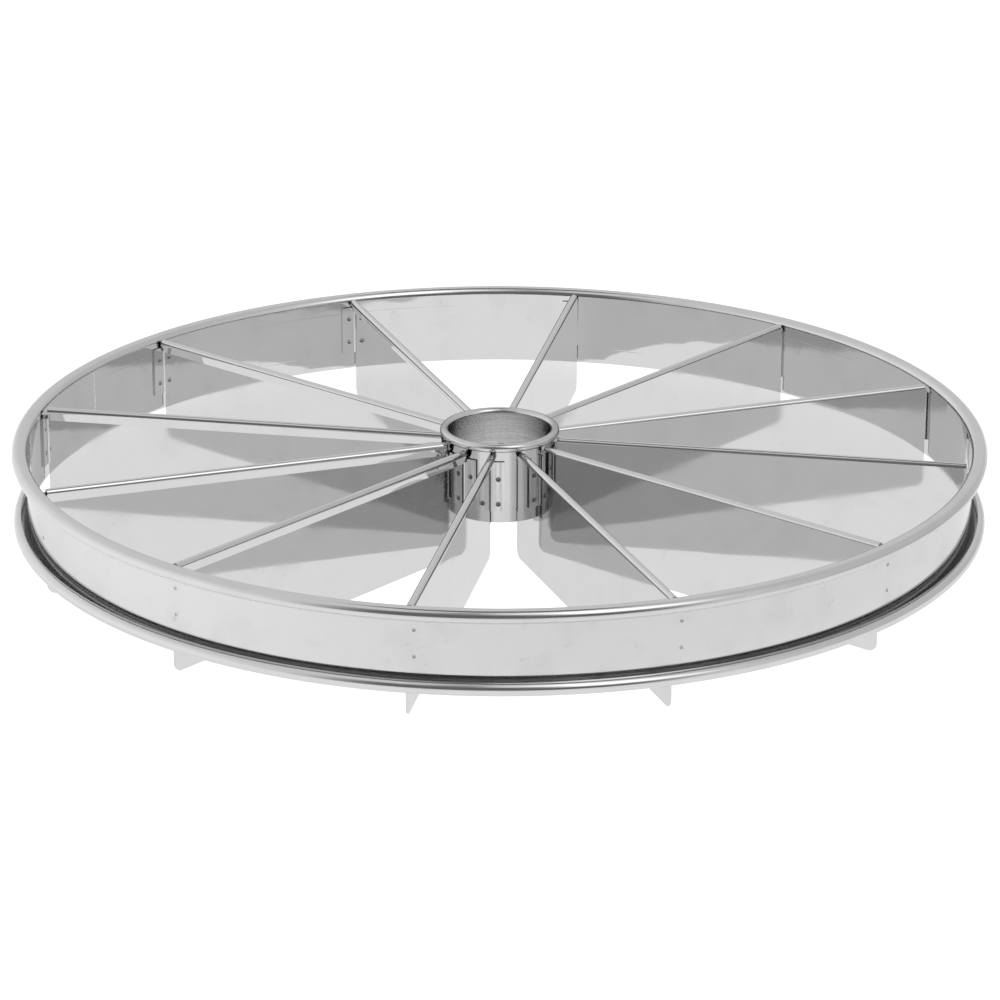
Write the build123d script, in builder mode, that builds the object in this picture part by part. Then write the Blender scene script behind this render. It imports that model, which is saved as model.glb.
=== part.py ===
"""Cake portion marker: a hoop with curled rims, a hub tube and evenly spaced blades, welded together.

Millimetres. The Z axis is the hub's axis, +Z is up, and the blades' lower edges stand on z = 0.
"""
import os
from math import atan2, cos, degrees, radians, sin, sqrt

from build123d import *

# Hoop
hoop_inner_diameter = 260.0
hoop_height = 23.2
hoop_sheet = 0.5
curl_height = 3.7
curl_flat = 0.6
curl_past_outside = 93.0
roll_line_from_curl = 3.3
roll_line_width = 0.4
roll_line_depth = 0.02

# Hoop seam
seam_angle = 164.5
seam_gap = 0.15
seam_weld_width = 0.8
seam_weld_proud = 0.1

# Hub
hub_bore_diameter = 28.2
hub_sheet = 0.8
hub_above_floor = 10.05
hub_above_rim = 1.85
lip_diameter = 2.4
lip_past_outside = 95.0

# Blades
blade_count = 12
blade_sheet = 0.5
blade_below_hoop = 8.0
blade_to_hoop_gap = 0.7
blade_to_hub_gap = 0.3
lower_hoop_corner = 2.5
lower_hub_corner = 2.5
hem_below_rim = 0.85
hem_roll_diameter = 2.2
flap_lean_at_roll = 30.0
flap_lean_at_foot = 18.0
hem_closing_gap = 0.05
hem_to_hoop_gap = 1.1
hem_to_hub_gap = 1.1

# Blade tabs and their spot welds
tab_below_hem_top = 2.55
tab_above_hoop_foot = 5.6
hoop_tab_width = 4.4
hub_tab_width = 4.2
tab_bend_radius = 0.5
tab_relief = 0.3
tab_seat_gap = 0.03
weld_diameter = 1.4
weld_from_tab_end = 3.5
hub_weld_drop = 1.5
weld_dish = 0.15
weld_fit_gap = 0.02

# Hoop levels and radii: each curl has one bend at the wall and one at the rim
hoop_inner = hoop_inner_diameter / 2
hoop_outer_face = hoop_inner + hoop_sheet
hoop_foot_z = blade_below_hoop
hoop_rim_z = hoop_foot_z + hoop_height
hoop_middle_z = (hoop_foot_z + hoop_rim_z) / 2
curl_radius = curl_height / 2
curl_inside = curl_radius - hoop_sheet
curl_width = curl_height + curl_flat
wall_bend_circle = hoop_inner + curl_radius
rim_bend_circle = wall_bend_circle + curl_flat
curl_from_middle = hoop_height / 2 - curl_radius
roll_line_from_middle = curl_from_middle - roll_line_from_curl

# Hub levels and radii
hub_inner = hub_bore_diameter / 2
hub_outer = hub_inner + hub_sheet
lip_outer = lip_diameter / 2
lip_inner = lip_outer - hub_sheet
lip_circle = hub_inner + lip_outer
lip_z = hoop_rim_z + hub_above_rim - lip_outer

# Blade levels: the web's middle plane is y = 0, and its hem and tabs turn to +Y
web_half = blade_sheet / 2
web_hoop_edge = hoop_inner - blade_to_hoop_gap
web_hub_edge = hub_outer + blade_to_hub_gap
blade_top = hoop_rim_z - hem_below_rim
hem_start = hub_outer + hem_to_hub_gap
hem_end = hoop_inner - hem_to_hoop_gap
tab_top = blade_top - tab_below_hem_top
tab_low = hoop_foot_z + tab_above_hoop_foot
tab_height = tab_top - tab_low
bend_inner = tab_bend_radius
bend_outer = tab_bend_radius + blade_sheet
bend_y = web_half + bend_inner
tab_root = 2 * bend_outer
blade_step = 360.0 / blade_count

# Hem: a roll, and a flap that runs on smoothly from it, leans in to the web and ends a closing gap from it
roll_outer = hem_roll_diameter / 2
roll_inner = roll_outer - blade_sheet
roll_y = roll_outer - web_half
roll_z = blade_top - roll_outer
flap_top_y = roll_y + roll_outer * cos(radians(flap_lean_at_roll))
flap_foot_y = web_half + hem_closing_gap + blade_sheet * cos(radians(flap_lean_at_foot))
flap_bow = (flap_top_y - flap_foot_y) / (cos(radians(flap_lean_at_foot)) - cos(radians(flap_lean_at_roll)))
flap_bow_y = roll_y + (roll_outer + flap_bow) * cos(radians(flap_lean_at_roll))
flap_bow_z = roll_z - (roll_outer + flap_bow) * sin(radians(flap_lean_at_roll))
flap_turn = flap_lean_at_roll - flap_lean_at_foot

# Hoop tab: it hugs the hoop's inner face, and its bend touches that arc from inside
hoop_tab_outer = hoop_inner - tab_seat_gap
hoop_tab_inner = hoop_tab_outer - blade_sheet
hoop_bend_x = sqrt((hoop_tab_inner - bend_inner) ** 2 - bend_y**2)
hoop_tab_start = degrees(atan2(bend_y, hoop_bend_x))
hoop_tab_end = degrees(hoop_tab_width / hoop_tab_outer)
hoop_weld_angle = hoop_tab_end / 2

# Hub tab: it hugs the hub's outer face, and its bend touches that arc from outside
hub_tab_inner = hub_outer + tab_seat_gap
hub_tab_outer = hub_tab_inner + blade_sheet
hub_bend_x = sqrt((hub_tab_outer + bend_inner) ** 2 - bend_y**2)
hub_tab_start = degrees(atan2(bend_y, hub_bend_x))
hub_tab_end = degrees(hub_tab_width / hub_tab_outer)
hub_weld_angle = (hub_tab_start + hub_tab_end) / 2

# Spot welds: each passes through a tab and the sheet that the tab hugs
weld_radius = weld_diameter / 2
weld_hole_radius = weld_radius + weld_fit_gap
hoop_weld_heights = (tab_low + weld_from_tab_end, tab_top - weld_from_tab_end)
hub_weld_heights = [height - hub_weld_drop for height in hoop_weld_heights]


def radial_plane(radius, angle, height):
    """Plane whose normal points straight out from the hub axis and whose local X is up."""
    outward = (cos(radians(angle)), sin(radians(angle)), 0)
    return Plane(origin=(radius * outward[0], radius * outward[1], height), x_dir=(0, 0, 1), z_dir=outward)


def weld_planes(radius, angle, heights):
    """Planes of the spot welds of one tab."""
    return [radial_plane(radius, angle, height) for height in heights]


def all_weld_planes(radius, angle, heights):
    """Planes of the spot welds of all blades."""
    planes = []
    for number in range(blade_count):
        planes += weld_planes(radius, angle + number * blade_step, heights)
    return planes


def finish(builder, name):
    """Labels a finished piece and writes it to its own file."""
    builder.part.label = name
    export_step(builder.part, f"parts/{name}.step")


def make_spot_welds(name, length, planes):
    """Group of welds, each a plug through both sheets with dished ends."""
    with BuildPart() as weld:
        with BuildSketch(Plane.XZ):
            with BuildLine():
                near_dish = TangentArc((0, weld_dish), (weld_radius, 0), tangent=(1, 0))
                far_dish = TangentArc((0, length - weld_dish), (weld_radius, length), tangent=(1, 0))
                Line(near_dish @ 1, far_dish @ 1)
                Line(far_dish @ 0, near_dish @ 0)
            make_face()
        revolve(axis=Axis.Z)
    with BuildPart() as welds:
        with Locations(*planes):
            add(weld.part)
    finish(welds, name)


os.makedirs("parts", exist_ok=True)

# Hoop band: the upper half of the section is drawn from the hoop's middle level and mirrored to the lower half
with BuildPart() as hoop_band:
    with BuildSketch(Plane(origin=(0, 0, hoop_middle_z), x_dir=(1, 0, 0), z_dir=(0, -1, 0))):
        with BuildLine():
            wall_bend = CenterArc((wall_bend_circle, curl_from_middle), curl_radius, 180, -90)
            rim_bend = CenterArc((rim_bend_circle, curl_from_middle), curl_radius, 90, -90 - curl_past_outside)
            rim_inside = CenterArc(
                (rim_bend_circle, curl_from_middle), curl_inside, -curl_past_outside, 90 + curl_past_outside
            )
            wall_inside = CenterArc((wall_bend_circle, curl_from_middle), curl_inside, 90, 90)
            Polyline(
                wall_inside @ 1,
                (hoop_outer_face, 0),
                (hoop_inner, 0),
                (hoop_inner, roll_line_from_middle - roll_line_width / 2),
                (hoop_inner + roll_line_depth, roll_line_from_middle),
                (hoop_inner, roll_line_from_middle + roll_line_width / 2),
                wall_bend @ 0,
            )
            Line(wall_bend @ 1, rim_bend @ 0)
            Line(rim_bend @ 1, rim_inside @ 0)
            Line(rim_inside @ 1, wall_inside @ 0)
        make_face()
        mirror(about=Plane.XZ)
    revolve(axis=Axis.Z)
    # Seam: the strip's ends stand a slit apart, and the wall between the curls has room for the weld
    with BuildSketch(radial_plane(hoop_inner - hoop_sheet, seam_angle, hoop_middle_z)):
        Rectangle(2 * hoop_height, seam_gap)
    extrude(amount=2 * curl_width, mode=Mode.SUBTRACT)
    with BuildSketch(radial_plane(hoop_inner, seam_angle, hoop_middle_z)):
        Rectangle(2 * (curl_from_middle + weld_fit_gap), seam_weld_width + 2 * weld_fit_gap)
    extrude(amount=2 * hoop_sheet, both=True, mode=Mode.SUBTRACT)
    with BuildSketch(*all_weld_planes(hoop_outer_face, hoop_weld_angle, hoop_weld_heights)):
        Circle(weld_hole_radius)
    extrude(amount=2 * hoop_sheet, both=True, mode=Mode.SUBTRACT)
finish(hoop_band, "hoop_band")

# Hoop seam weld: it joins the strip's ends and stands proud of both faces
seam_outward = (cos(radians(seam_angle)), sin(radians(seam_angle)), 0)
with BuildPart() as hoop_seam_weld:
    with BuildSketch(Plane(origin=(0, 0, hoop_middle_z), x_dir=seam_outward, z_dir=(0, 0, 1))):
        with BuildLine():
            inner_crown = ThreePointArc(
                (hoop_inner, -seam_weld_width / 2),
                (hoop_inner - seam_weld_proud, 0),
                (hoop_inner, seam_weld_width / 2),
            )
            outer_crown = ThreePointArc(
                (hoop_outer_face, -seam_weld_width / 2),
                (hoop_outer_face + seam_weld_proud, 0),
                (hoop_outer_face, seam_weld_width / 2),
            )
            Line(inner_crown @ 0, outer_crown @ 0)
            Line(inner_crown @ 1, outer_crown @ 1)
        make_face()
    extrude(amount=curl_from_middle, both=True)
finish(hoop_seam_weld, "hoop_seam_weld")

# Hub tube: plain lower edge, and a lip rolled outwards at the top
lip_turn = 180.0 + lip_past_outside
with BuildPart() as hub_tube:
    with BuildSketch(Plane.XZ):
        with BuildLine():
            lip_outside = CenterArc((lip_circle, lip_z), lip_outer, 180, -lip_turn)
            lip_inside = CenterArc((lip_circle, lip_z), lip_inner, -lip_past_outside, lip_turn)
            Line(lip_outside @ 1, lip_inside @ 0)
            Polyline(
                lip_inside @ 1,
                (hub_outer, hub_above_floor),
                (hub_inner, hub_above_floor),
                lip_outside @ 0,
            )
        make_face()
    revolve(axis=Axis.Z)
    with BuildSketch(*all_weld_planes(hub_outer, hub_weld_angle, hub_weld_heights)):
        Circle(weld_hole_radius)
    extrude(amount=2 * hub_sheet, both=True, mode=Mode.SUBTRACT)
finish(hub_tube, "hub_tube")

# Blade along +X: the web, its rolled hem, and a bent tab at each end between two relief cuts
with BuildPart() as blade_pattern:
    with BuildSketch(Plane.XZ):
        with BuildLine():
            Polyline(
                (web_hub_edge, 0),
                (web_hub_edge, tab_low - tab_relief),
                (hub_bend_x, tab_low - tab_relief),
                (hub_bend_x, tab_top + tab_relief),
                (web_hub_edge, tab_top + tab_relief),
                (web_hub_edge, roll_z),
                (web_hoop_edge, roll_z),
                (web_hoop_edge, tab_top + tab_relief),
                (hoop_bend_x, tab_top + tab_relief),
                (hoop_bend_x, tab_low - tab_relief),
                (web_hoop_edge, tab_low - tab_relief),
                (web_hoop_edge, 0),
                close=True,
            )
        make_face()
    extrude(amount=web_half, both=True)
    lower_edges = blade_pattern.edges().filter_by(Axis.Y).group_by(Axis.Z)[0]
    fillet(lower_edges.sort_by(Axis.X)[0], lower_hub_corner)
    lower_edges = blade_pattern.edges().filter_by(Axis.Y).group_by(Axis.Z)[0]
    fillet(lower_edges.sort_by(Axis.X)[-1], lower_hoop_corner)
    # Hem: the sheet rolls over to +Y, and its flap goes on down from the roll
    with BuildSketch(Plane.YZ.offset(hem_start)):
        with BuildLine():
            roll_outside = CenterArc((roll_y, roll_z), roll_outer, 180, -180 - flap_lean_at_roll)
            flap_outside = CenterArc((flap_bow_y, flap_bow_z), flap_bow, 180 - flap_lean_at_roll, flap_turn)
            flap_inside = CenterArc(
                (flap_bow_y, flap_bow_z), flap_bow + blade_sheet, 180 - flap_lean_at_foot, -flap_turn
            )
            roll_inside = CenterArc((roll_y, roll_z), roll_inner, -flap_lean_at_roll, 180 + flap_lean_at_roll)
            Line(flap_outside @ 1, flap_inside @ 0)
            Polyline(
                roll_inside @ 1,
                (web_half, roll_z - roll_outer),
                (-web_half, roll_z - roll_outer),
                roll_outside @ 0,
            )
        make_face()
    extrude(amount=hem_end - hem_start)
    # Hoop tab
    with BuildSketch(Plane.XY.offset(tab_low)):
        with BuildLine():
            outer_bend = CenterArc((hoop_bend_x, bend_y), bend_outer, -90, 90 + hoop_tab_start)
            outer_face = CenterArc((0, 0), hoop_tab_outer, hoop_tab_start, hoop_tab_end - hoop_tab_start)
            inner_face = CenterArc((0, 0), hoop_tab_inner, hoop_tab_end, hoop_tab_start - hoop_tab_end)
            inner_bend = CenterArc((hoop_bend_x, bend_y), bend_inner, hoop_tab_start, -90 - hoop_tab_start)
            Line(outer_face @ 1, inner_face @ 0)
            Polyline(
                inner_bend @ 1,
                (hoop_bend_x - tab_root, web_half),
                (hoop_bend_x - tab_root, -web_half),
                outer_bend @ 0,
            )
        make_face()
    extrude(amount=tab_height)
    # Hub tab
    with BuildSketch(Plane.XY.offset(tab_low)):
        with BuildLine():
            inner_bend = CenterArc((hub_bend_x, bend_y), bend_inner, -90, hub_tab_start - 90)
            outer_face = CenterArc((0, 0), hub_tab_outer, hub_tab_start, hub_tab_end - hub_tab_start)
            inner_face = CenterArc((0, 0), hub_tab_inner, hub_tab_end, hub_tab_start - hub_tab_end)
            outer_bend = CenterArc((hub_bend_x, bend_y), bend_outer, 180 + hub_tab_start, 90 - hub_tab_start)
            Line(outer_face @ 1, inner_face @ 0)
            Polyline(
                outer_bend @ 1,
                (hub_bend_x + tab_root, -web_half),
                (hub_bend_x + tab_root, web_half),
                inner_bend @ 0,
            )
        make_face()
    extrude(amount=tab_height)
    hoop_tab_welds = weld_planes(hoop_tab_outer, hoop_weld_angle, hoop_weld_heights)
    hub_tab_welds = weld_planes(hub_tab_outer, hub_weld_angle, hub_weld_heights)
    with BuildSketch(*hoop_tab_welds, *hub_tab_welds):
        Circle(weld_hole_radius)
    extrude(amount=2 * blade_sheet, both=True, mode=Mode.SUBTRACT)

# Blades: one piece for each portion line, counted anticlockwise from +X
for number in range(blade_count):
    with BuildPart() as blade:
        add(blade_pattern.part, rotation=(0, 0, number * blade_step))
    finish(blade, f"blade_{number + 1:02d}")

# Spot welds
make_spot_welds(
    "hoop_spot_welds",
    hoop_outer_face - hoop_tab_inner,
    all_weld_planes(hoop_tab_inner, hoop_weld_angle, hoop_weld_heights),
)
make_spot_welds(
    "hub_spot_welds",
    hub_tab_outer - hub_inner,
    all_weld_planes(hub_inner, hub_weld_angle, hub_weld_heights),
)
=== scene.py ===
"""Looks of the cake portion marker: polished steel on a white bench, seen as in a product photograph."""
import math

import bpy
from mathutils import Matrix, Vector


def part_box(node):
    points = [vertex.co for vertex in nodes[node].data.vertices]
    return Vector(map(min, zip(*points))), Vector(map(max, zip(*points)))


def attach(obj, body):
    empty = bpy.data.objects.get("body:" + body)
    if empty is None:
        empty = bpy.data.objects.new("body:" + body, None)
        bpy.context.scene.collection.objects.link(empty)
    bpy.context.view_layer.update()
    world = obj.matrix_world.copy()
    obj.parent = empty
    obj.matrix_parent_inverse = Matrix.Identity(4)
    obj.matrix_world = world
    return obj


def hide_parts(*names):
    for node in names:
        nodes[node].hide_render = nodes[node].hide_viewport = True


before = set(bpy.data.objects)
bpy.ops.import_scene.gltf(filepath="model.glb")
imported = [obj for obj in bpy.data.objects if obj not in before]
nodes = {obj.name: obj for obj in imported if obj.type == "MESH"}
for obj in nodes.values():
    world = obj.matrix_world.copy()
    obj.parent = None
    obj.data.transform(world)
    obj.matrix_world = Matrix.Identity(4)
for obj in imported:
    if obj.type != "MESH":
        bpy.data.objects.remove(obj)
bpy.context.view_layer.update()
scene = bpy.context.scene

# Studio turn in degrees: the camera and the lights stand turned by this round the hub axis
STUDIO_TURN = 10.38

# Camera fitted to the photograph: metres, elevation in degrees, pan and tilt as slopes, roll in radians
FOCAL_MM = 161.26
SENSOR_MM = 36.0
CAMERA_DISTANCE = 1.2389
CAMERA_ELEVATION = 19.611
CAMERA_PAN = 0.00012
CAMERA_TILT = -0.0138
CAMERA_ROLL = 0.00216
CAMERA_CLIP_END = 50
AIM_HEIGHT = 0.02935

# Room: degrees seen from the part, azimuth from the front to the right; later areas cover earlier ones
ROOM_LIGHT = 0.84
ROOM_AREAS = {
    "dim_right": {"azimuth": (70, 150), "elevation": (-30, 75), "soft": (18, 18), "light": 0.7},
    "bright_left": {"azimuth": (-160, -60), "elevation": (-30, 30), "soft": (20, 20), "light": 1.1},
    "dark_front": {"azimuth": (-38, 40), "elevation": (-60, 46), "soft": (12, 6), "light": 0.17},
    "dim_gap": {"azimuth": (-21, -3), "elevation": (40, 78), "soft": (6, 5), "light": 0.3},
    "small_softbox": {"azimuth": (0, 22), "elevation": (50, 74), "soft": (6, 6), "light": 1.15},
    "large_softbox": {"azimuth": (16, 52), "elevation": (30, 74), "soft": (8, 8), "light": 1.9},
}
CEILING_TILT = 10
CEILING_REACH = (9, 17)
CEILING_LIGHT = 0.12

# Bench: metres and degrees, with areas as in the room; the camera sees it evenly white
BENCH_HALF = 12.0
BENCH_DROP = 0.0002
BENCH_SEEN = 1.2
# Glow within 0.13 m of the hub axis, under the part, weaker than the all-round glow beyond: painted shadow of
# the part on the bench
BENCH_LIGHT = 1.08
BENCH_AREAS = {
    "all_round": {"azimuth": (-360, 360), "reach": (0.13, 0.17), "soft": 1, "light": 1.21},
    "front_right": {"azimuth": (-30, 90), "reach": (0.13, 0.17), "soft": 45, "light": 1.02},
    "far_right": {"azimuth": (50, 130), "reach": (0.18, 0.26), "soft": 20, "light": 0.62},
    "far_front": {"azimuth": (-38, 40), "reach": (0.18, 0.40), "soft": 12, "light": 0.17},
}

# Light paths
MAX_BOUNCES = 16
GLOSSY_BOUNCES = 14

# Hoop section in metres, angles in degrees
HOOP_INNER = 0.130
HOOP_SHEET = 0.0005
CURL_HEIGHT = 0.0037
CURL_FLAT = 0.0006
CURL_PAST_OUTSIDE = 93.0
# Where the top curl's underside turns rougher and is painted paler, painted light against the dark line at
# its edge
DULL_PAINTED_LIGHT_PAST_OUTSIDE = 28.0
ROLL_LINE_FROM_CURL = 0.0033
ROLL_LINE_WIDTH = 0.0004
ROLL_LINE_DEPTH = 0.000003
ARC_STEP = 4.0
HIDDEN_ARC_STEP = 12.0

# Hoop round the axis: metres, and degrees except for the step in radians
BLADE_COUNT = 12
STEPS_PER_BLADE = 30
HOOP_STEP = math.radians(360 / BLADE_COUNT / STEPS_PER_BLADE)
SEAM_ANGLE = 164.5
SEAM_GAP = 0.00015
WELD_ANGLE = 0.97
WELD_HOLE_RADIUS = 0.00052
WELD_CELL_HALF = 0.0009
WELD_HEIGHTS = (0.0171, 0.0243)
WELD_SIDES = 16

# Hub and blades in metres: radii of the bore and the outside, heights above the blades' feet, and sheet
HUB_BORE = 0.0141
HUB_OUTER = 0.0149
HUB_FOOT = 0.01005
LIP_FOOT = 0.0318
TAB_SHEET = 0.0005

# Steel: brightness of grazing reflections, noise scales per metre, and limits as shares
EDGE_TINT = 0.85
LINE_DETAIL = 2
LINE_ROUGHNESS_LOW = 0.75
LINE_ROUGHNESS_SPREAD = 0.5
CLOUD_SCALE = 90
CLOUD_DETAIL = 4
CLOUD_LIMITS = (0.45, 0.7)
MARK_SCALE = 420
MARK_DETAIL = 3
MARK_LIMITS = (0.6, 0.75)
STREAK_SCALE = 1500
STREAK_DETAIL = 3
STREAK_LIMITS = (0.3, 0.7)
WAVE_DETAIL = 1
WAVE_STRETCH = (1, 1, 1.6)
RING_GRAIN_TURN = 0.004
LEVEL_GRAIN = (0.02, 0.02, 1)
FINE_LEVEL_GRAIN = (0.06, 0.06, 3)
UPRIGHT_GRAIN = (1, 1, 0.05)
CUT_EDGE_FACING = (0.75, 0.85)
# Share of the cut edges' painted shade that they keep at the hoop
CUT_EDGE_SHADE_AT_HOOP = 0.35


def turned(vector):
    """A direction or place in the studio, turned into the part's frame."""
    return Matrix.Rotation(math.radians(STUDIO_TURN), 3, "Z") @ Vector(vector)


def make_camera():
    """Camera at the photograph's viewing angle."""
    elevation = math.radians(CAMERA_ELEVATION)
    place = Vector((0, -math.cos(elevation), math.sin(elevation))) * CAMERA_DISTANCE
    forward = Vector((0, math.cos(elevation), -math.sin(elevation)))
    right = Vector((1, 0, 0))
    up = right.cross(forward)
    forward = (forward + CAMERA_PAN * right + CAMERA_TILT * up).normalized()
    right = forward.cross(up).normalized()
    up = right.cross(forward)
    across = math.cos(CAMERA_ROLL) * right + math.sin(CAMERA_ROLL) * up
    upright = -math.sin(CAMERA_ROLL) * right + math.cos(CAMERA_ROLL) * up
    data = bpy.data.cameras.new("camera")
    data.lens = FOCAL_MM
    data.sensor_width = SENSOR_MM
    data.clip_end = CAMERA_CLIP_END
    camera = bpy.data.objects.new("camera", data)
    scene.collection.objects.link(camera)
    axes = Matrix((turned(across), turned(upright), turned(-forward))).transposed()
    camera.matrix_world = Matrix.Translation(turned(place) + Vector((0, 0, AIM_HEIGHT))) @ axes.to_4x4()
    scene.camera = camera


def put(tree, kind, inputs=None, **settings):
    """Adds a shader node, sets it up, and sets or links its inputs."""
    made = tree.nodes.new("ShaderNode" + kind)
    for key, value in settings.items():
        setattr(made, key, value)
    for key, value in (inputs or {}).items():
        if isinstance(value, bpy.types.NodeSocket):
            tree.links.new(value, made.inputs[key])
        else:
            made.inputs[key].default_value = value
    return made


def math_node(tree, operation, *values):
    """Output of a math node on one to three values or sockets."""
    return put(tree, "Math", dict(enumerate(values)), operation=operation).outputs[0]


def ramp(tree, value, start, end, low, high):
    """Smooth step of a value from low to high."""
    inputs = {"Value": value, "From Min": start, "From Max": end, "To Min": low, "To Max": high}
    return put(tree, "MapRange", inputs, interpolation_type="SMOOTHSTEP").outputs[0]


def window(tree, angle, limits, soft):
    """1 where an angle is between two limits in degrees and 0 outside, with soft edges."""
    low, high = limits
    rise = ramp(tree, angle, math.radians(low - soft), math.radians(low + soft), 0, 1)
    fall = ramp(tree, angle, math.radians(high - soft), math.radians(high + soft), 1, 0)
    return math_node(tree, "MULTIPLY", rise, fall)


def blend(tree, first, second, share):
    """Value that goes from a first to a second one."""
    return put(tree, "Mix", {"Factor": share, "A": first, "B": second}).outputs["Result"]


def split(tree, vector):
    """The X, Y and Z outputs of a vector."""
    return put(tree, "SeparateXYZ", {0: vector}).outputs


def length(tree, vector):
    """Length of a vector."""
    return put(tree, "VectorMath", {0: vector}, operation="LENGTH").outputs["Value"]


def studio_axes(tree, vector):
    """A direction or place in the part's frame, turned into the studio, whose front is -Y."""
    inputs = {"Vector": vector, "Angle": -math.radians(STUDIO_TURN)}
    return put(tree, "VectorRotate", inputs, rotation_type="Z_AXIS").outputs[0]


def azimuth_of(tree, parts):
    """Angle of a direction or place in the studio, from the front to the right."""
    return math_node(tree, "ARCTAN2", parts["X"], math_node(tree, "MULTIPLY", parts["Y"], -1))


def make_world():
    """Light room with a bright left, a dim right, a dark front with softboxes above, and a dim ceiling."""
    world = bpy.data.worlds.new("studio")
    world.use_nodes = True
    scene.world = world
    tree = world.node_tree
    direction = studio_axes(tree, put(tree, "TexCoord").outputs["Generated"])
    parts = split(tree, direction)
    azimuth = azimuth_of(tree, parts)
    elevation = math_node(tree, "ARCSINE", parts["Z"])
    light = ROOM_LIGHT
    for area in ROOM_AREAS.values():
        across = window(tree, azimuth, area["azimuth"], area["soft"][0])
        upward = window(tree, elevation, area["elevation"], area["soft"][1])
        light = blend(tree, light, area["light"], math_node(tree, "MULTIPLY", across, upward))
    tilt = math.radians(CEILING_TILT)
    ceiling = (0, math.sin(tilt), math.cos(tilt))
    facing = put(tree, "VectorMath", {0: direction, 1: ceiling}, operation="DOT_PRODUCT").outputs["Value"]
    inner, outer = [math.cos(math.radians(reach)) for reach in CEILING_REACH]
    light = blend(tree, light, CEILING_LIGHT, ramp(tree, facing, outer, inner, 0, 1))
    background = tree.nodes["Background"]
    background.inputs["Color"].default_value = (1, 1, 1, 1)
    tree.links.new(light, background.inputs["Strength"])


def make_object(name, verts, faces, materials):
    """Mesh object in the scene."""
    mesh = bpy.data.meshes.new(name)
    mesh.from_pydata(verts, [], faces)
    for material in materials:
        mesh.materials.append(material)
    made = bpy.data.objects.new(name, mesh)
    scene.collection.objects.link(made)
    return made


def bench_material():
    """White glow that lights the part less from the right, and ends in the dark far in front; it glows less
    under the part, a painted shadow.
    """
    material = bpy.data.materials.new("white_bench")
    material.use_nodes = True
    tree = material.node_tree
    tree.nodes.clear()
    place = studio_axes(tree, put(tree, "TexCoord").outputs["Object"])
    azimuth = azimuth_of(tree, split(tree, place))
    reach = length(tree, place)
    light = BENCH_LIGHT
    for area in BENCH_AREAS.values():
        across = window(tree, azimuth, area["azimuth"], area["soft"])
        outward = ramp(tree, reach, area["reach"][0], area["reach"][1], 0, 1)
        light = blend(tree, light, area["light"], math_node(tree, "MULTIPLY", across, outward))
    seen = put(tree, "LightPath").outputs["Is Camera Ray"]
    glow = put(tree, "Emission", {"Strength": blend(tree, light, BENCH_SEEN, seen)})
    put(tree, "OutputMaterial", {"Surface": glow.outputs[0]})
    return material


def make_bench():
    """Large white bench just below the part."""
    half = BENCH_HALF
    corners = [(-half, -half, 0), (half, -half, 0), (half, half, 0), (-half, half, 0)]
    bench = make_object("bench", corners, [(0, 1, 2, 3)], [bench_material()])
    bench.location.z = -BENCH_DROP


def stretched(tree, coordinate, scale):
    """Coordinates scaled apart on each axis."""
    return put(tree, "Mapping", {"Vector": coordinate, "Scale": scale}).outputs[0]


def noise(tree, coordinate, scale, detail):
    """Smooth noise between 0 and 1."""
    return put(tree, "TexNoise", {"Vector": coordinate, "Scale": scale, "Detail": detail}).outputs["Fac"]


def bumped(tree, height, normal=None):
    """Normal bent by a height in metres."""
    inputs = {"Height": height, "Distance": 1.0, "Strength": 1.0}
    if normal is not None:
        inputs["Normal"] = normal
    return put(tree, "Bump", inputs).outputs[0]


def height_of(tree, place):
    """Height of a place above the blades' feet."""
    return split(tree, place)["Z"]


def from_axis(tree, place):
    """Distance of a place from the hub axis."""
    flat = put(tree, "VectorMath", {0: place, 1: (1, 1, 0)}, operation="MULTIPLY").outputs[0]
    return length(tree, flat)


def ring_place(tree, place):
    """Coordinates for grain that runs round the hub axis: distance from it, a shortened turn, and height."""
    parts = split(tree, place)
    angle = math_node(tree, "ARCTAN2", parts["Y"], parts["X"])
    turn = math_node(tree, "MULTIPLY", angle, RING_GRAIN_TURN)
    return put(tree, "CombineXYZ", {"X": from_axis(tree, place), "Y": turn, "Z": parts["Z"]}).outputs[0]


def level_place(tree, place):
    """Coordinates for grain that runs level along a flat sheet."""
    return stretched(tree, place, LEVEL_GRAIN)


def fine_level_place(tree, place):
    """Coordinates for fine, short grain that runs level round a small tube."""
    return stretched(tree, place, FINE_LEVEL_GRAIN)


def upright_place(tree, place):
    """Coordinates for grain that runs straight up."""
    return stretched(tree, place, UPRIGHT_GRAIN)


def hub_bore(tree, place):
    """1 on the straight wall of the hub's bore, below its lip."""
    inside = ramp(tree, from_axis(tree, place), HUB_BORE, HUB_OUTER, 1, 0)
    below_lip = ramp(tree, height_of(tree, place), LIP_FOOT, LIP_FOOT + TAB_SHEET, 1, 0)
    return math_node(tree, "MULTIPLY", inside, below_lip)


def hub_lip(tree, place):
    """1 on the hub's rolled lip."""
    return ramp(tree, height_of(tree, place), LIP_FOOT - TAB_SHEET, LIP_FOOT, 0, 1)


def hub_tabs(tree, place):
    """1 on the blades' tabs at the hub."""
    return ramp(tree, from_axis(tree, place), HUB_OUTER + 2 * TAB_SHEET, HUB_OUTER + 3 * TAB_SHEET, 1, 0)


def hoop_tabs(tree, place):
    """1 on the blades' tabs at the hoop."""
    return ramp(tree, from_axis(tree, place), HOOP_INNER - 2 * TAB_SHEET, HOOP_INNER - TAB_SHEET, 0, 1)


def hoop_marks(tree, place):
    """1 on the spot welds at the hoop, 0 on those at the hub."""
    return ramp(tree, from_axis(tree, place), 2 * HUB_OUTER, HOOP_INNER / 2, 0, 1)


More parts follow.
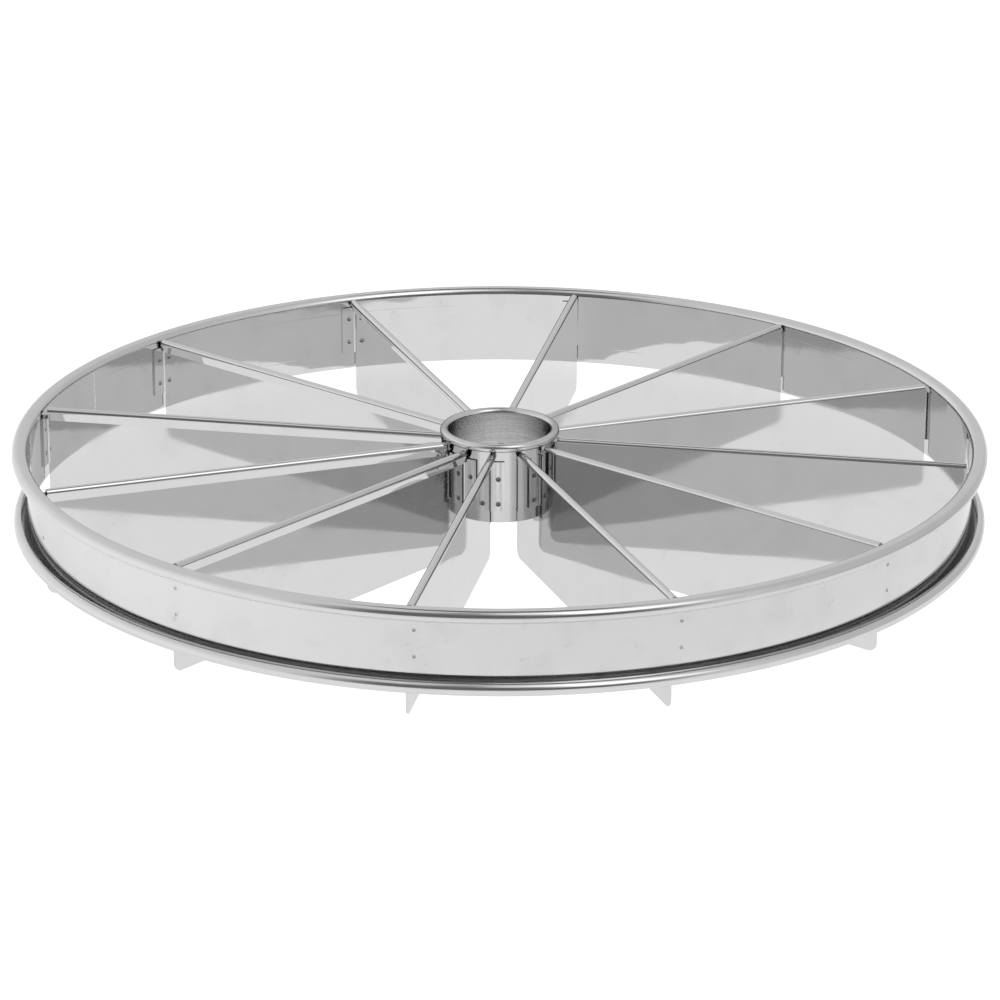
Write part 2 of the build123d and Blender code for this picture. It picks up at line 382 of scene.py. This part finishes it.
def painted_cut_edge_shade(tree, place):
    """Painted shade on the tabs' cut edges, 1 beside the hub and less at the hoop; they face upwards or away
    from the blade.
    """
    normal = put(tree, "NewGeometry").outputs["True Normal"]
    swirl = put(tree, "VectorMath", {0: place, 1: normal}, operation="CROSS_PRODUCT").outputs[0]
    away = math_node(tree, "DIVIDE", split(tree, swirl)["Z"], from_axis(tree, place))
    facing = math_node(tree, "MAXIMUM", away, split(tree, normal)["Z"])
    edge = ramp(tree, facing, CUT_EDGE_FACING[0], CUT_EDGE_FACING[1], 0, 1)
    beside_hub = ramp(tree, height_of(tree, place), HUB_FOOT - TAB_SHEET, HUB_FOOT, 0, 1)
    at_hub = math_node(tree, "MULTIPLY", hub_tabs(tree, place), beside_hub)
    at_hoop = math_node(tree, "MULTIPLY", hoop_tabs(tree, place), CUT_EDGE_SHADE_AT_HOOP)
    return math_node(tree, "MULTIPLY", edge, math_node(tree, "MAXIMUM", at_hub, at_hoop))


def steel(name, shade, roughness, grain=level_place, wave=(40, 0.0), lines=(4000, 0.0), smudge=(0.0, 0.0),
          spots=0.0, edge_tint=EDGE_TINT, patches=()):
    """Steel with slow waves, lines along its grain, cloudy smudges and small dark marks.

    wave and lines give a scale per metre and a height in metres, and smudge a change of roughness and of
    shade. Each of the patches has a mask, its own shade and roughness, and a grain and depth of streaks
    in its shade.
    """
    wave_scale, wave_height = wave
    line_scale, line_height = lines
    smudge_roughness, smudge_shade = smudge
    material = bpy.data.materials.new(name)
    material.use_nodes = True
    tree = material.node_tree
    shader = tree.nodes["Principled BSDF"]
    shader.inputs["Metallic"].default_value = 1
    shader.inputs["Specular Tint"].default_value = (edge_tint, edge_tint, edge_tint, 1)
    place = put(tree, "TexCoord").outputs["Object"]

    line_noise = noise(tree, grain(tree, place), line_scale, LINE_DETAIL)
    cloud_noise = noise(tree, place, CLOUD_SCALE, CLOUD_DETAIL)
    cloud = ramp(tree, cloud_noise, CLOUD_LIMITS[0], CLOUD_LIMITS[1], 0, 1)
    lowest = LINE_ROUGHNESS_LOW * roughness
    spread = LINE_ROUGHNESS_SPREAD * roughness
    rough = math_node(tree, "MULTIPLY_ADD", line_noise, spread, lowest)
    rough = math_node(tree, "MULTIPLY_ADD", cloud, smudge_roughness, rough)

    mark_noise = noise(tree, place, MARK_SCALE, MARK_DETAIL)
    marks = ramp(tree, mark_noise, MARK_LIMITS[0], MARK_LIMITS[1], 0, spots)
    cloudy_marks = math_node(tree, "MULTIPLY", marks, cloud)
    dark = math_node(tree, "MULTIPLY_ADD", cloud, smudge_shade, cloudy_marks)
    tone = math_node(tree, "SUBTRACT", shade, dark)

    for patch in patches:
        mask = patch["mask"](tree, place)
        depth = patch["depth"]
        streak_noise = noise(tree, patch["grain"](tree, place), STREAK_SCALE, STREAK_DETAIL)
        streaks = ramp(tree, streak_noise, STREAK_LIMITS[0], STREAK_LIMITS[1], -depth, depth)
        tone = blend(tree, tone, math_node(tree, "ADD", streaks, patch["shade"]), mask)
        rough = blend(tree, rough, patch["roughness"], mask)

    wave_noise = noise(tree, stretched(tree, place, WAVE_STRETCH), wave_scale, WAVE_DETAIL)
    normal = bumped(tree, math_node(tree, "MULTIPLY", wave_noise, wave_height))
    normal = bumped(tree, math_node(tree, "MULTIPLY", line_noise, line_height), normal)
    colour = put(tree, "CombineColor", {"Red": tone, "Green": tone, "Blue": tone}).outputs[0]
    tree.links.new(normal, shader.inputs["Normal"])
    tree.links.new(rough, shader.inputs["Roughness"])
    tree.links.new(colour, shader.inputs["Base Color"])
    return material


def arc(circle, level, radius, start, end, spacing):
    """Section points and normals on an arc; the normals point away from its middle."""
    count = round(abs(end - start) / spacing)
    found = []
    for step in range(count + 1):
        angle = math.radians(start + (end - start) * step / count)
        normal = (math.cos(angle), math.sin(angle))
        found.append(((circle + radius * normal[0], level + radius * normal[1]), normal))
    return found


def straight(points, normal):
    """Section points on a straight face with one normal."""
    return [(point, normal) for point in points]


def inward(found):
    """The same points with their normals turned round."""
    return [(point, (-normal[0], -normal[1])) for point, normal in found]


def roll_line(level):
    """Section points and normals, from below, of a shallow line rolled into the wall's inner face."""
    half = ROLL_LINE_WIDTH / 2
    slope = math.atan2(2 * ROLL_LINE_DEPTH, half)
    flank = HOOP_INNER + ROLL_LINE_DEPTH / 2
    return [
        ((HOOP_INNER, level - half), (-1, 0)),
        ((flank, level - half / 2), (-math.cos(slope), math.sin(slope))),
        ((HOOP_INNER + ROLL_LINE_DEPTH, level), (-1, 0)),
        ((flank, level + half / 2), (-math.cos(slope), -math.sin(slope))),
        ((HOOP_INNER, level + half), (-1, 0)),
    ]


def curl_runs(middle, level):
    """Runs of the section from the middle of the wall's inner face over the top curl to its outer face."""
    radius = CURL_HEIGHT / 2
    inside = radius - HOOP_SHEET
    wall_circle = HOOP_INNER + radius
    rim_circle = wall_circle + CURL_FLAT
    line = roll_line(level - ROLL_LINE_FROM_CURL)
    edge = math.radians(CURL_PAST_OUTSIDE)
    rim = arc(rim_circle, level, radius, 90, -DULL_PAINTED_LIGHT_PAST_OUTSIDE, ARC_STEP)
    rim_end = arc(rim_circle, level, radius, -DULL_PAINTED_LIGHT_PAST_OUTSIDE, -CURL_PAST_OUTSIDE, ARC_STEP)
    rim_inside = inward(arc(rim_circle, level, inside, -CURL_PAST_OUTSIDE, 90, HIDDEN_ARC_STEP))
    return [
        ("wall", [((HOOP_INNER, middle), (-1, 0)), line[0]]),
        ("wall", line),
        ("wall", [line[-1], ((HOOP_INNER, level), (-1, 0))]),
        ("curl", arc(wall_circle, level, radius, 180, 90, ARC_STEP)),
        ("curl", straight([(wall_circle, level + radius), (rim_circle, level + radius)], (0, 1))),
        ("curl", rim),
        # Underside near the curl's edge: rougher, and painted paler as painted light
        ("dull_painted_light", rim_end),
        ("edge", straight([rim_end[-1][0], rim_inside[0][0]], (-math.sin(edge), -math.cos(edge)))),
        ("inside", rim_inside),
        ("inside", straight([(rim_circle, level + inside), (wall_circle, level + inside)], (0, -1))),
        ("inside", inward(arc(wall_circle, level, inside, 90, 180, HIDDEN_ARC_STEP))),
    ]


def mirrored(runs, middle):
    """The top curl's runs turned over into the bottom curl's, which has no rougher, painted-light underside.
    """
    found = []
    for finish, run in reversed(runs):
        if finish == "dull_painted_light":
            finish = "curl"
        found.append((finish, [((r, 2 * middle - z), (nr, -nz)) for (r, z), (nr, nz) in reversed(run)]))
    return found


def hoop_section():
    """Pieces of the whole section in order round the sheet: first point, normals at both ends, and finish."""
    low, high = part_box("hoop_band")
    middle = (low.z + high.z) / 2
    level = high.z - CURL_HEIGHT / 2
    upper = curl_runs(middle, level)
    heights = [level, 2 * middle - level]
    for height in WELD_HEIGHTS:
        heights += [height + WELD_CELL_HALF, height - WELD_CELL_HALF]
    band_points = [(HOOP_INNER + HOOP_SHEET, height) for height in sorted(heights, reverse=True)]
    band = ("band", straight(band_points, (1, 0)))
    pieces = []
    for finish, run in upper + [band] + mirrored(upper, middle):
        for (start, start_normal), (_, end_normal) in zip(run, run[1:]):
            pieces.append((start, start_normal, end_normal, finish))
    return pieces


def hoop_angles():
    """Angles of the steps round the hoop, the steps that hold welds, and the step that is the seam's slit."""
    first = math.radians(WELD_ANGLE) - HOOP_STEP / 2
    steps = [first + HOOP_STEP * number for number in range(BLADE_COUNT * STEPS_PER_BLADE)]
    seam = math.radians(SEAM_ANGLE)
    half_slit = SEAM_GAP / HOOP_INNER / 2
    angles = sorted(steps + [seam - half_slit, seam + half_slit])
    weld_steps = [angles.index(angle) for angle in steps[::STEPS_PER_BLADE]]
    return angles, weld_steps, angles.index(seam - half_slit)


def around(point, angle):
    """Place of a section point turned round the hub axis."""
    return Vector((point[0] * math.cos(angle), point[0] * math.sin(angle), point[1]))


def weld_circle(radius, angle, height):
    """Section points and angles on a weld hole's edge, anticlockwise seen from outside, from upper left."""
    upper_left = 0.75 * math.pi
    found = []
    for number in range(WELD_SIDES):
        turn = upper_left + 2 * math.pi * number / WELD_SIDES
        point = (radius, height + WELD_HOLE_RADIUS * math.sin(turn))
        found.append((point, angle + WELD_HOLE_RADIUS * math.cos(turn) / radius))
    return found


def holed_cell(corners, bends, circle, first_vert):
    """Four faces round a weld's hole in one cell of the band, and their normals."""
    quarter = WELD_SIDES // 4
    faces, normals = [], []
    for side in range(4):
        after = (side + 1) % 4
        numbers = range(quarter * (side + 1), quarter * side - 1, -1)
        rim = [number % WELD_SIDES for number in numbers]
        faces.append([corners[side], corners[after]] + [first_vert + number for number in rim])
        normals += [bends[side], bends[after]]
        normals += [around((1, 0), circle[number][1]) for number in rim]
    return faces, normals


def make_hoop(finishes):
    """Hoop with fine steps all round, so that its reflections run smoothly, and holes for the weld marks."""
    pieces = hoop_section()
    angles, weld_steps, slit_step = hoop_angles()
    total = len(angles)
    verts = [around(piece[0], angle) for piece in pieces for angle in angles]
    faces, normals, face_finishes = [], [], []
    for row, (start, start_normal, end_normal, finish) in enumerate(pieces):
        row_start = row * total
        next_start = (row + 1) % len(pieces) * total
        welds = [height for height in WELD_HEIGHTS if math.isclose(start[1], height + WELD_CELL_HALF)]
        holds_welds = finish == "band" and len(welds) > 0
        for step, angle in enumerate(angles):
            if step == slit_step:
                continue
            after = (step + 1) % total
            corners = [row_start + step, next_start + step, next_start + after, row_start + after]
            bends = [around(start_normal, angle), around(end_normal, angle)]
            bends += [around(end_normal, angles[after]), around(start_normal, angles[after])]
            cell_faces, cell_normals = [corners], bends
            if holds_welds and step in weld_steps:
                circle = weld_circle(start[0], angle + HOOP_STEP / 2, welds[0])
                cell_faces, cell_normals = holed_cell(corners, bends, circle, len(verts))
                verts += [around(point, turn) for point, turn in circle]
            faces += cell_faces
            normals += cell_normals
            face_finishes += [finish] * len(cell_faces)
    order = list(finishes)
    hoop = make_object("hoop_sheet", verts, faces, finishes.values())
    hoop.data.polygons.foreach_set("use_smooth", [True] * len(faces))
    hoop.data.polygons.foreach_set("material_index", [order.index(finish) for finish in face_finishes])
    hoop.data.normals_split_custom_set(normals)
    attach(hoop, "root")
    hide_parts("hoop_band")


make_camera()
make_world()
make_bench()

# Hoop, with one finish for each part of its section
hoop_finishes = {
    "wall": steel("hoop_wall_steel", shade=0.63, roughness=0.04, wave=(80, 60e-6), lines=(3500, 0.4e-6),
                  smudge=(0.05, 0.02), spots=0.08),
    "band": steel("hoop_band_steel", shade=0.63, roughness=0.08, wave=(35, 80e-6), lines=(3500, 1e-6),
                  smudge=(0.05, 0.03), spots=0.12),
    "curl": steel("hoop_curl_steel", shade=0.63, roughness=0.16, grain=ring_place, wave=(60, 30e-6),
                  lines=(4000, 3e-6), smudge=(0.05, 0.02)),
    # Top curl's underside: rougher, with a paler tone that is painted light, softening the dark line of shade
    # at its edge
    "dull_painted_light": steel("hoop_dull_painted_light_steel", shade=0.8, roughness=0.7, grain=ring_place, wave=(60, 30e-6),
                  lines=(4000, 3e-6), smudge=(0.05, 0.02)),
    "edge": steel("hoop_edge_steel", shade=0.75, roughness=0.25, grain=ring_place, lines=(5000, 2e-6),
                  smudge=(0.1, 0.03)),
    "inside": steel("hoop_inside_steel", shade=0.6, roughness=0.3, grain=ring_place, smudge=(0.05, 0.02)),
}
make_hoop(hoop_finishes)

# Blades, duller and darker on their tabs at the hub, with painted shade on the tabs' cut edges
blade_steel = steel(
    "blade_sheet_steel", shade=0.63, roughness=0.05, wave=(30, 100e-6), lines=(3500, 0.4e-6),
    smudge=(0.05, 0.015), spots=0.05,
    patches=(
        {"mask": hub_tabs, "shade": 0.55, "roughness": 0.1, "grain": upright_place, "depth": 0.08},
        # Painted shade: the cut edges are darkened to stand for the shade in the crevices beside the hub and
        # the hoop
        {"mask": painted_cut_edge_shade, "shade": 0.12, "roughness": 0.5, "grain": upright_place, "depth": 0.02},
    ),
)

# Hub, brushed in its bore and satin on its lip
hub_steel = steel(
    "hub_tube_steel", shade=0.59, roughness=0.1, wave=(90, 20e-6), lines=(3000, 0.5e-6),
    smudge=(0.08, 0.02), edge_tint=0.4,
    patches=(
        {"mask": hub_bore, "shade": 0.67, "roughness": 0.18, "grain": fine_level_place, "depth": 0.08},
        {"mask": hub_lip, "shade": 0.62, "roughness": 0.22, "grain": ring_place, "depth": 0.02},
    ),
)

# Welds: a pale matt seam, and spot welds that are dark at the hub, paler at the hoop and in the hub's bore
seam_steel = steel("seam_weld_steel", shade=0.85, roughness=0.6, wave=(900, 20e-6), smudge=(0.1, 0.04))
weld_steel = steel(
    "weld_mark_steel", shade=0.24, roughness=0.35, wave=(900, 40e-6), smudge=(0.1, 0.04),
    patches=(
        {"mask": hoop_marks, "shade": 0.5, "roughness": 0.4, "grain": upright_place, "depth": 0.02},
        {"mask": hub_bore, "shade": 0.6, "roughness": 0.5, "grain": fine_level_place, "depth": 0.08},
    ),
)

# Finishes of the solids; all that have no row here are blades
solid_finishes = {
    "hoop_band": hoop_finishes["band"],
    "hoop_seam_weld": seam_steel,
    "hoop_spot_welds": weld_steel,
    "hub_spot_welds": weld_steel,
    "hub_tube": hub_steel,
}
for name, node in nodes.items():
    node.data.materials.clear()
    node.data.materials.append(solid_finishes.get(name, blade_steel))

scene.view_settings.view_transform = "Standard"
scene.cycles.max_bounces = MAX_BOUNCES
scene.cycles.glossy_bounces = GLOSSY_BOUNCES
